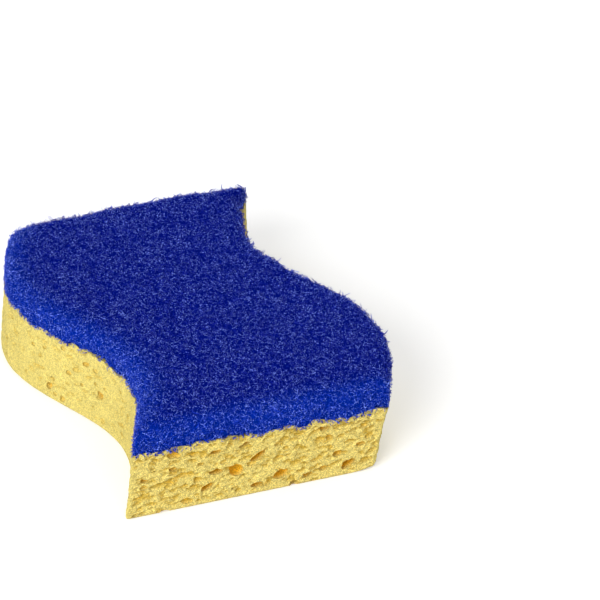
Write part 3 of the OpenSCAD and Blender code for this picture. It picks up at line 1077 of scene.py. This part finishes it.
def pore_tree():
    """Cuts the placed pores out of a block, and scattered shallow pits out of its underside."""
    tree = NodeTree("cut_pores")
    tree.input("Pore places", "NodeSocketObject")
    tree.input("Pit density", "NodeSocketFloat", 5e4)
    tree.input("Smallest pit", "NodeSocketVector", (0.5 * MM, 0.3 * MM, 0.12 * MM))
    tree.input("Largest pit", "NodeSocketVector", (1.6 * MM, 0.9 * MM, 0.4 * MM))
    tree.input("Seed", "NodeSocketInt", 7)
    tree.input("Material", "NodeSocketMaterial")
    start = tree.start.outputs

    def ball(detail):
        return tree.connect("GeometryNodeMeshIcoSphere", Radius=1.0, Subdivisions=detail).outputs[0]

    info = tree.node("GeometryNodeObjectInfo", transform_space="ORIGINAL")
    tree.link(start["Pore places"], info.inputs[0])
    span = tree.named("FLOAT_VECTOR", "span")
    parts = tree.node("ShaderNodeSeparateXYZ")
    tree.link(span, parts.inputs[0])
    cut = tree.node("GeometryNodeMeshBoolean", operation="DIFFERENCE", solver="MANIFOLD")
    tree.link(start["Geometry"], cut.inputs["Mesh 1"])
    for operation, detail in (("GREATER_THAN", 3), ("LESS_THAN", 2)):
        placed = tree.connect(
            "GeometryNodeInstanceOnPoints", Points=info.outputs["Geometry"],
            Selection=tree.math(operation, parts.outputs[0], FINE_BALL_SPAN),
            Instance=ball(detail), Rotation=tree.named("FLOAT_VECTOR", "turn"), Scale=span)
        tree.link(placed.outputs[0], cut.inputs["Mesh 2"])
    base = tree.faces(start["Geometry"], tree.math("LESS_THAN", tree.normal_up(), UNDERSIDE))
    points = tree.connect(
        "GeometryNodeDistributePointsOnFaces", Mesh=base,
        Density=start["Pit density"], Seed=start["Seed"])
    turn = tree.random("FLOAT_VECTOR", (0, 0, -math.pi), (0, 0, math.pi), 3)
    size = tree.random("FLOAT_VECTOR", start["Smallest pit"], start["Largest pit"], 4)
    pits = tree.connect(
        "GeometryNodeInstanceOnPoints", Points=points.outputs[0], Instance=ball(2),
        Rotation=turn, Scale=size)
    tree.link(pits.outputs[0], cut.inputs["Mesh 2"])
    return tree.finish(cut.outputs[0], start["Material"])


def noise_field(co, size, seed):
    """A smooth random vector for each point, from -1 to 1 each way, the same in each run."""
    noise.seed_set(NOISE_SEED)
    shift = Vector((17.3 * seed, -9.1 * seed, 5.7 * seed))
    return np.array([noise.noise_vector(Vector(c) / size + shift) for c in co])


# Sizes of the wide and the fine waves of the bond, and the share of the front right corner's
# sag that the front left one has too
SEAM_WIDE, SEAM_FINE = 4 * MM, 1.3 * MM
SAG_LEFT = 0.15


def seam_height(co, shape):
    """How far the bond between block and pad wanders up or sags at a place."""
    flat = co * (1, 1, 0)
    rough = noise_field(flat, SEAM_WIDE, 8)[:, 2] + noise_field(flat, SEAM_FINE, 9)[:, 2]
    share = np.clip(0.5 + co[:, 0] / shape.width, 0, 1)
    front = np.exp(-((co[:, 1] + shape.length / 2) / shape.sag_reach) ** 2)
    sag = shape.seam_sag * (SAG_LEFT + (1 - SAG_LEFT) * share) * front
    return shape.seam_wander * rough - sag


def bottom_round(x, y, shape):
    """Rounding of the bottom edge at a place, larger at the worn front right corner."""
    away = np.hypot(shape.width / 2 - x, shape.length / 2 + y)
    worn = np.exp(-(away / WORN_PATCH) ** 2)
    return shape.edge_round + (shape.worn_round - shape.edge_round) * worn


def pore_depth(co, side, end, shape):
    """How deep each point lies below the uncut block, whose edges are rounded."""
    r = np.where((co[:, 0] < 0) & (co[:, 1] > 0), shape.worn_corner, shape.soft_corner)
    corner = r - np.hypot(np.clip(r - side, 0, None), np.clip(r - end, 0, None))
    depth = np.where((side < r) & (end < r), corner, np.minimum(side, end))
    r = bottom_round(co[:, 0], co[:, 1], shape)
    below = np.clip(r - co[:, 2], 0, r)
    inset = r - np.sqrt(r * r - below * below)
    return np.clip(np.minimum(depth - inset, co[:, 2]), 0, None)


# Sizes of the three kinds of waves in which the pore rims wander, the finest first
WARP_SIZES = (0.9 * MM, 3 * MM, 9 * MM)

# How far below the block's top its points begin to follow the bond
SEAM_ZONE = 5 * MM


class SPONGE_OT_block(bpy.types.Operator):
    """Builds the yellow cellulose block with its open pores"""

    bl_idname = "sponge.block"
    bl_label = "Cellulose block"

    def execute(self, context):
        shape, pores = context.scene.sponge_shape, context.scene.sponge_pores
        outline = Outline(shape)
        carrier = new_object("block_carrier", plain_block(shape, pores, outline))
        places = places_object(PorePlaces(outline, pores).collect())
        material = cellulose_material(pores)
        mesh = run_tree(
            carrier, pore_tree(), "sponge_block", Pore_places=places,
            Pit_density=pores.pits / (shape.width * shape.length), Material=material)
        for spare in (carrier, places):
            bpy.data.objects.remove(spare)
        co = read_coordinates(mesh)
        side, end = outline.side_gap(co), outline.end_gap(co)
        store_values(mesh, "depth", pore_depth(co, side, end, shape))
        # 1 on the straight ends and 0 on the curved sides
        store_values(mesh, "end_cut", np.clip((side - end) / MM, 0, 1))
        store_values(mesh, "pressed", np.clip(1 - co[:, 2] / (0.5 * shape.edge_round), 0, 1))
        fine, middling, wide = (
            noise_field(co, size, seed) for seed, size in enumerate(WARP_SIZES, 1))
        warp = pores.warp * (fine + middling)
        warp += pores.warp * wide
        # The flat underside stays as it is, because its long thin faces would fold over
        warp *= np.clip(co[:, 2] / MM, 0, 1)[:, None]
        top = np.clip(1 - (shape.block_height - co[:, 2]) / SEAM_ZONE, 0, 1)
        warp[:, 2] = warp[:, 2] * (1 - top) + seam_height(co, shape) * top
        write_coordinates(mesh, co + warp)
        # Mask of the painted shade in the hollows: about 1 on upright faces and under overhangs, and
        # less the more a face looks up
        store_values(mesh, "facing_shade", np.clip(0.9 - 1.1 * upward(mesh), 0, 1))
        smooth_by_angle(mesh, 40)
        block = new_object("cellulose_block", mesh)
        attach(block, "root")
        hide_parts("sponge_block")
        return {"FINISHED"}


# Places of the points across the pad's soft rim, as shares of its width, closer at the edge
RIM_STATIONS = (0, 0.04, 0.12, 0.25, 0.42, 0.6, 0.8)


def pad_surface(shape, pad, outline, inset):
    """The pad's body as a closed solid with a soft upper rim, inset from the full outline."""
    half_w, half_l = outline.half_w, outline.half_l

    def stations(half):
        rim = np.array(RIM_STATIONS) * pad.rim
        inner = np.linspace(-half + pad.rim, half - pad.rim, round(2 * half / MM))
        return np.concatenate([-half + rim, inner, (half - rim)[::-1]]) / half

    def place(u, v, level):
        x, y = u * half_w, v * half_l
        nearest = np.minimum(half_w - np.abs(x), half_l - np.abs(y))
        k = 1 - np.clip(nearest, 0, pad.rim) / pad.rim
        rim = shape.pad_height - pad.rim_drop * (1 - np.sqrt(np.clip(1 - k * k, 0, 1)))
        x_deg, y_deg = x / MM, y / MM
        relief = pad.relief * wander(4.3 * x_deg + 2.1 * y_deg) * wander(3.7 * y_deg - 1.9 * x_deg)
        corner = np.hypot(x + half_w, y - half_l)
        droop = pad.corner_drop * np.exp(-(corner / EDGE_PATCH) ** 2)
        height = rim + np.clip(nearest / pad.rim, 0, 1) * relief - inset - droop
        recess = pad.recess * np.exp(-((y - pad.recess_at) / EDGE_PATCH) ** 2) * (u > 0.9)
        bulge = pad.bulge * np.exp(-((y - pad.bulge_at) / EDGE_PATCH) ** 2) * np.clip(-u, 0, 1) ** 4
        ripple_u = pad.ripple * u * wander(6.1 * y_deg + np.where(u > 0, 90, 0)) - recess - bulge
        ripple_v = pad.ripple * v * wander(7.3 * x_deg + np.where(v > 0, 50, 0))
        x, y = round_corners(x, y, shape)
        x = x * (1 - inset / half_w) + ripple_u
        y = y * (1 - inset / half_l) + ripple_v
        co = np.stack([x, y, shape.block_height + level * height], -1)
        co[:, 0] += outline.middle(y, co[:, 2])
        co[:, 2] += (1 - level) * seam_height(co, shape)
        return co

    levels = [0, 0.33, 0.67, 1]
    return closed_shell("pad_body", stations(half_w), stations(half_l), levels, place, domed=True)


# Fibres: how many kinds there are, the straight steps of each, how much its heading may turn
# at a step and how much that may change, in radians, and how far and how often it rises and
# falls along its length
FIBRE_KINDS = 32
FIBRE_STEPS = 3
CURL_MOST = 1.1
CURL_CHANGE = 0.6
CURL_RISE = 0.3 * MM
CURL_WAVES = (0.7, 1.6)


def curl_path(rng, length, steps):
    """One curled fibre lying near the XY plane: its heading turns at a changing rate."""
    heading = rng.uniform(0, 2 * math.pi)
    rate = rng.uniform(-1, 1)
    point = np.zeros(3)
    path = [point.copy()]
    for _ in range(steps):
        rate = np.clip(rate + rng.uniform(-CURL_CHANGE, CURL_CHANGE), -CURL_MOST, CURL_MOST)
        heading += rate
        point = point + length / steps * np.array([math.cos(heading), math.sin(heading), 0])
        path.append(point.copy())
    path = np.array(path)
    path -= path.mean(0)
    waves, phase = rng.uniform(*CURL_WAVES), rng.uniform(0, 2 * math.pi)
    path[:, 2] = CURL_RISE * np.sin(np.linspace(0, 2 * math.pi * waves, steps + 1) + phase)
    return path


def fibre_mesh(name, path, radius):
    """A closed, three-sided tube along a path, drawn in at both ends."""
    steps = len(path)
    ahead = np.gradient(path, axis=0)
    ahead /= np.linalg.norm(ahead, axis=1)[:, None]
    aside = np.cross(ahead, (0, 0, 1))
    aside /= np.linalg.norm(aside, axis=1)[:, None]
    above = np.cross(aside, ahead)
    points, faces = [], []
    for i in range(steps):
        r = radius * (0.6 if i in (0, steps - 1) else 1)
        for k in range(3):
            a = 2 * math.pi * k / 3
            points.append(path[i] + r * (math.cos(a) * aside[i] + math.sin(a) * above[i]))
    for i in range(steps - 1):
        for k in range(3):
            a, b = 3 * i + k, 3 * i + (k + 1) % 3
            faces.append((a, a + 3, b + 3, b))
    faces += [(0, 1, 2), (3 * steps - 1, 3 * steps - 2, 3 * steps - 3)]
    mesh = bpy.data.meshes.new(name)
    mesh.from_pydata([tuple(p) for p in points], [], faces)
    mesh.update()
    return mesh


def fibre_tree():
    """Lays curled fibres over a surface, each turned and sized by chance."""
    tree = NodeTree("lay_fibres")
    tree.input("Fibres", "NodeSocketCollection")
    tree.input("Count density", "NodeSocketFloat", 2e6)
    tree.input("Smallest", "NodeSocketFloat", 0.6)
    tree.input("Largest", "NodeSocketFloat", 1.2)
    tree.input("Tilt", "NodeSocketFloat", 0.6)
    tree.input("Lift", "NodeSocketFloat", 0.0)
    tree.input("At edge", "NodeSocketFloat", 0.0)
    tree.input("Seed", "NodeSocketInt", 1)
    tree.input("Material", "NodeSocketMaterial")
    start = tree.start.outputs
    wanted = tree.math("GREATER_THAN", tree.normal_up(), PAD_UNDERSIDE)
    outer = tree.faces(start["Geometry"], wanted)
    kept = tree.math("POWER", tree.named("FLOAT", "margin"), start["At edge"])
    points = tree.connect(
        "GeometryNodeDistributePointsOnFaces", Mesh=outer,
        Density=tree.math("MULTIPLY", start["Count density"], kept), Seed=start["Seed"])
    lift = tree.node("ShaderNodeVectorMath", operation="SCALE")
    tree.link(points.outputs["Normal"], lift.inputs[0])
    tree.link(tree.either_way(start["Lift"], 5), lift.inputs["Scale"])
    moved = tree.connect(
        "GeometryNodeSetPosition", Geometry=points.outputs["Points"], Offset=lift.outputs[0])
    turn = tree.connect(
        "ShaderNodeCombineXYZ", X=tree.either_way(start["Tilt"], 6),
        Y=tree.either_way(start["Tilt"], 7), Z=tree.random("FLOAT", 0.0, 2 * math.pi, 8))
    spin = tree.node("FunctionNodeRotateRotation", rotation_space="LOCAL")
    tree.link(points.outputs["Rotation"], spin.inputs[0])
    tree.link(turn.outputs[0], spin.inputs[1])
    kinds = tree.connect(
        "GeometryNodeCollectionInfo", Collection=start["Fibres"],
        Separate_children=True, Reset_children=True)
    laid = tree.connect(
        "GeometryNodeInstanceOnPoints", Points=moved.outputs[0],
        Instance=kinds.outputs[0], Pick_instance=True, Rotation=spin.outputs[0],
        Scale=tree.random("FLOAT", start["Smallest"], start["Largest"], 9))
    tinted = tree.node("GeometryNodeStoreNamedAttribute", data_type="FLOAT", domain="INSTANCE")
    tinted.inputs["Name"].default_value = "tint"
    tree.link(laid.outputs[0], tinted.inputs[0])
    tree.link(tree.random("FLOAT", 0.0, 1.0, 10), tinted.inputs["Value"])
    return tree.finish(tinted.outputs[0], start["Material"])


# At the pad's cut edge: the zone in which fibres are bent; the size of the tufts, how strongly
# they are drawn down on the whole and from tuft to tuft, the share of that at the curved sides
# and how it fades upwards; the drape of a tuft over the bond; the zone that may hang below it
EDGE_ZONE = 2 * MM
TUFT_SIZE = 1.6 * MM
TUFT_MEAN, TUFT_SWING = 0.45, 1.2
TUFT_AT_SIDES = 0.6
TUFT_FADE = 1.2 * MM
DRAPE_START = 0.2 * MM
DRAPE_MOST = 0.9 * MM
HANG_ZONE = 0.7 * MM


def tuck_in(mesh, shape, outline, pad):
    """Bends stray fibre ends back to the torn edge, and draws tufts down over the bond."""
    whole = read_coordinates(mesh)
    near = np.minimum(outline.side_gap(whole), outline.end_gap(whole)) < EDGE_ZONE
    co = whole[near]

    def too_far(gap):
        out = np.clip(-gap, 0, None)
        return out - pad.overhang * (1 - np.exp(-out / pad.overhang))

    def outside():
        return -np.minimum(outline.side_gap(co), outline.end_gap(co))

    y_clip = np.clip(co[:, 1], -outline.half_l, outline.half_l)
    side = np.sign(co[:, 0] - outline.middle(y_clip, co[:, 2]))
    end = np.sign(co[:, 1])
    co[:, 0] -= side * too_far(outline.side_gap(co))
    co[:, 1] -= end * too_far(outline.end_gap(co))
    seam = shape.block_height + seam_height(co, shape)
    near_edge = np.clip(1 + outside() / MM, 0, 1)
    tufts = noise_field(co * (1, 1, 0), TUFT_SIZE, 21)[:, 0]
    amount = np.clip(TUFT_MEAN + TUFT_SWING * tufts, 0, 1)
    on_side = outline.side_gap(co) < outline.end_gap(co)
    pull = pad.tuft * np.where(on_side, TUFT_AT_SIDES, 1)
    fade = np.exp(-np.clip(co[:, 2] - seam, 0, None) / TUFT_FADE)
    co[:, 2] -= pull * amount * near_edge * fade
    below = np.clip((seam - co[:, 2]) / DRAPE_START, 0, 1)
    drape = below * np.clip(DRAPE_START - outside(), 0, DRAPE_MOST)
    co[:, 0] += drape * side * on_side
    co[:, 1] += drape * end * ~on_side
    deepest = np.where(outside() > -HANG_ZONE, pad.droop, 0)
    co[:, 2] = np.maximum(co[:, 2], seam - deepest)
    whole[near] = co
    write_coordinates(mesh, whole)


def lit_rim(co, outline, reach):
    """Painted light: 1 at the left and front cut edges, where the web is looser and which face the
    key lamp, 0 further in.
    """
    y = np.clip(co[:, 1], -outline.half_l, outline.half_l)
    left = co[:, 0] - outline.middle(y, co[:, 2]) + outline.half_w
    left = left / np.sqrt(1 + outline.slope(y) ** 2)
    gap = np.minimum(left, co[:, 1] + outline.half_l)
    return np.exp(-(np.clip(gap, 0, None) / reach) ** 2)


def margin(co, outline, reach):
    """1 at the cut edge and 2 at the more torn back edge, fading to 0 further in."""
    side, end = outline.side_gap(co), outline.end_gap(co)
    torn = 1 + ((end < side) & (co[:, 1] > 0))
    return torn * np.exp(-(np.clip(np.minimum(side, end), 0, None) / reach) ** 2)


def fibre_kinds(pad):
    """A hidden collection of curled fibres, from which the tree picks."""
    kinds = bpy.data.collections.new("fibre_kinds")
    rng = np.random.default_rng(FIBRE_SEED)
    for k in range(FIBRE_KINDS):
        path = curl_path(rng, pad.fibre_length, FIBRE_STEPS)
        mesh = fibre_mesh(f"fibre_{k}", path, pad.fibre_radius)
        kinds.objects.link(bpy.data.objects.new(f"fibre_{k}", mesh))
    return kinds


# How far the felted body's surface is roughened, in millimetres, and the size of its bumps
FELT_RISE = 0.3
FELT_SIZE = 1.5 * MM

# Smallest and largest fibre, as shares of the full size
FIBRE_SIZES = (0.6, 1.2)


class SPONGE_OT_pad(bpy.types.Operator):
    """Builds the blue scouring pad: a felted body and layers of curled fibres"""

    bl_idname = "sponge.pad"
    bl_label = "Scouring pad"

    def execute(self, context):
        shape, pad = context.scene.sponge_shape, context.scene.sponge_pad
        outline = Outline(shape)
        body_mesh = pad_surface(shape, pad, outline, pad.cover)
        co = read_coordinates(body_mesh)
        rough = noise_field(co, FELT_SIZE, 3) * FELT_RISE * MM
        # The underside keeps to the bond
        rough[co[:, 2] < shape.block_height + 0.5 * MM] = 0
        write_coordinates(body_mesh, co + rough)
        body_mesh.shade_smooth()
        store_values(body_mesh, "tint", np.zeros(len(body_mesh.vertices)))
        # Painted light on the left and front cut edges, which face the key lamp
        store_values(body_mesh, "rim", lit_rim(co, outline, pad.rim_reach))
        store_values(body_mesh, "margin", margin(co, outline, pad.stray_reach))
        # Painted shade: the felted body is darkened to half, as it lies in the shade of the fibres
        # above it
        body_mesh.materials.append(fibre_material(pad, "blue_felt", shade_multiplier=0.5, gloss=0.0))
        body = new_object("pad_body", body_mesh)
        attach(body, "root")
        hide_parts("scouring_pad")
        kinds = fibre_kinds(pad)
        material = fibre_material(pad, "blue_fibre", shade_multiplier=1.0, gloss=0.1)
        tree = fibre_tree()
        area = sum(face.area for face in body_mesh.polygons if face.normal.z > PAD_UNDERSIDE)
        # Name, fibres for each square metre, lift, tilt, size, and 1 for those at the edge alone
        coats = [(f"pad_fibres_{n}", pad.fibres_each / area, pad.lift, pad.tilt, 1.0, 0.0)
                 for n in range(pad.layers)]
        coats.append(("pad_strays", pad.strays / MM ** 2, pad.stray_lift, pad.stray_tilt,
                      pad.stray_size, 1.0))
        smallest, largest = FIBRE_SIZES
        for seed, (name, density, lift, tilt, size, at_edge) in enumerate(coats, 1):
            mesh = run_tree(
                body, tree, name, Fibres=kinds, Count_density=density, Lift=lift, Tilt=tilt,
                Smallest=smallest * size, Largest=largest * size, At_edge=at_edge, Seed=seed,
                Material=material)
            tuck_in(mesh, shape, outline, pad)
            # Painted light on the left and front cut edges, which face the key lamp
            store_values(mesh, "rim", lit_rim(read_coordinates(mesh), outline, pad.rim_reach))
            mesh.shade_smooth()
            fibres = new_object(name, mesh)
            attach(fibres, "root")
        for spare in list(kinds.objects):
            bpy.data.objects.remove(spare)
        bpy.data.collections.remove(kinds)
        return {"FINISHED"}


# The camera that the photograph's outline gives
VIEW_AZIMUTH, VIEW_ELEVATION = -20.98, 29.85
VIEW_DISTANCE = 0.940
VIEW_TARGET = Vector((34.94, 12.6, 10.0)) * MM
LENS_MM = 216.0


def direction(azimuth, elevation):
    """Unit vector from the object towards a camera or lamp; azimuth 0 is in front."""
    a, e = math.radians(azimuth), math.radians(elevation)
    return Vector((math.sin(a) * math.cos(e), -math.cos(a) * math.cos(e), math.sin(e)))


# Soft lamps: direction in degrees, distance and width in metres, and level
LAMPS = {
    "key": (-50, 26, 2.5, 1.8, 0.9),
    "fill": (25, 40, 2.5, 1.5, 0.12),
    "back": (160, 35, 2.5, 1.2, 0.12),
}
WORLD_LEVEL = 0.5

# The floor: half its width in metres, its own shade, and the glow that brings it up to white
FLOOR_HALF = 3
FLOOR_SHADE = 0.75
FLOOR_GLOW = 0.22

WHITE = (1, 1, 1, 1)


def area_lamp(name, azimuth, elevation, distance, size, level):
    """A soft lamp; level 1 lights a white face that looks at it up to white."""
    lamp = bpy.data.lights.new(name, "AREA")
    lamp.shape, lamp.size = "DISK", size
    lamp.energy = level * math.pi ** 2 * distance ** 2
    thing = new_object(name, lamp)
    towards = direction(azimuth, elevation)
    thing.location = towards * distance
    thing.rotation_euler = towards.to_track_quat("Z", "Y").to_euler()


def studio_world():
    """A world that lights softly from all round, but that the camera sees as white."""
    world = bpy.data.worlds.new("studio")
    world.use_nodes = True
    tree = Tree(world.node_tree)
    light = next(n for n in tree.tree.nodes if n.type == "BACKGROUND")
    out = next(n for n in tree.tree.nodes if n.type == "OUTPUT_WORLD")
    light.inputs["Color"].default_value = WHITE
    light.inputs["Strength"].default_value = WORLD_LEVEL
    white = tree.node("ShaderNodeBackground")
    white.inputs["Strength"].default_value = 1.0
    path = tree.node("ShaderNodeLightPath")
    mix = tree.node("ShaderNodeMixShader")
    tree.link(path.outputs["Is Camera Ray"], mix.inputs[0])
    tree.link(light.outputs[0], mix.inputs[1])
    tree.link(white.outputs[0], mix.inputs[2])
    tree.link(mix.outputs[0], out.inputs[0])
    return world


def floor_mesh():
    """A thin slab whose top lies at height 0; the camera sees it as white, with shadows."""
    def place(u, v, level):
        return np.stack([u * FLOOR_HALF, v * FLOOR_HALF, u * 0 + level * MM], -1)

    square = np.array([-1.0, 1.0])
    mesh = closed_shell("floor", square, square, [-1, 0], place)
    material, tree, shader, _ = new_material("pale_floor")
    seen = tree.node("ShaderNodeLightPath").outputs["Is Camera Ray"]
    shade = tree.mix_colour(seen, (FLOOR_SHADE,) * 3, WHITE[:3])
    tree.link(shade, shader.inputs["Base Color"])
    shader.inputs["Emission Color"].default_value = WHITE
    tree.link(tree.math("MULTIPLY", seen, FLOOR_GLOW), shader.inputs["Emission Strength"])
    shader.inputs["Roughness"].default_value = 1.0
    shader.inputs["Specular IOR Level"].default_value = 0.0
    mesh.materials.append(material)
    return mesh


def studio_camera():
    """The camera that sees the sponge as the photograph does."""
    camera = bpy.data.cameras.new("camera")
    camera.lens, camera.sensor_width = LENS_MM, 36.0
    camera.clip_start, camera.clip_end = 0.01, 20.0
    thing = new_object("camera", camera)
    back = direction(VIEW_AZIMUTH, VIEW_ELEVATION)
    thing.location = VIEW_TARGET + back * VIEW_DISTANCE
    thing.rotation_euler = back.to_track_quat("Z", "Y").to_euler()
    return thing


class SPONGE_OT_stage(bpy.types.Operator):
    """Sets up the floor, the soft studio light and the camera"""

    bl_idname = "sponge.stage"
    bl_label = "Studio"

    def execute(self, context):
        scene = context.scene
        scene.view_settings.view_transform = "Standard"
        scene.world = studio_world()
        floor = new_object("floor", floor_mesh())
        floor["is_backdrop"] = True
        for name, measures in LAMPS.items():
            area_lamp(name, *measures)
        scene.camera = studio_camera()
        return {"FINISHED"}


class SPONGE_PT_panel(bpy.types.Panel):
    """Lists the sponge's pieces and their sizes in the sidebar"""

    bl_idname = "SPONGE_PT_panel"
    bl_label = "Cleaning sponge"
    bl_space_type = "VIEW_3D"
    bl_region_type = "UI"
    bl_category = "Sponge"

    def list_values(self, settings):
        for name in settings.__annotations__:
            self.layout.prop(settings, name)

    def draw(self, context):
        scene = context.scene
        self.list_values(scene.sponge_shape)
        self.layout.operator(SPONGE_OT_block.bl_idname)
        self.list_values(scene.sponge_pores)
        self.layout.operator(SPONGE_OT_pad.bl_idname)
        self.list_values(scene.sponge_pad)
        self.layout.operator(SPONGE_OT_stage.bl_idname)


CLASSES = (SpongeShape, PoreSettings, PadSettings, SPONGE_OT_block, SPONGE_OT_pad,
           SPONGE_OT_stage, SPONGE_PT_panel)


def register():
    for one in CLASSES:
        bpy.utils.register_class(one)
    bpy.types.Scene.sponge_shape = PointerProperty(type=SpongeShape)
    bpy.types.Scene.sponge_pores = PointerProperty(type=PoreSettings)
    bpy.types.Scene.sponge_pad = PointerProperty(type=PadSettings)


def unregister():
    for name in ("sponge_shape", "sponge_pores", "sponge_pad"):
        delattr(bpy.types.Scene, name)
    for one in reversed(CLASSES):
        bpy.utils.unregister_class(one)


def main():
    register()
    bpy.ops.sponge.block()
    bpy.ops.sponge.pad()
    bpy.ops.sponge.stage()
    boxes = {"cad": CAD_BOX, "visual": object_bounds()}
    {name: [list(corner) for corner in box] for name, box in boxes.items()}


if __name__ == "__main__":
    main()
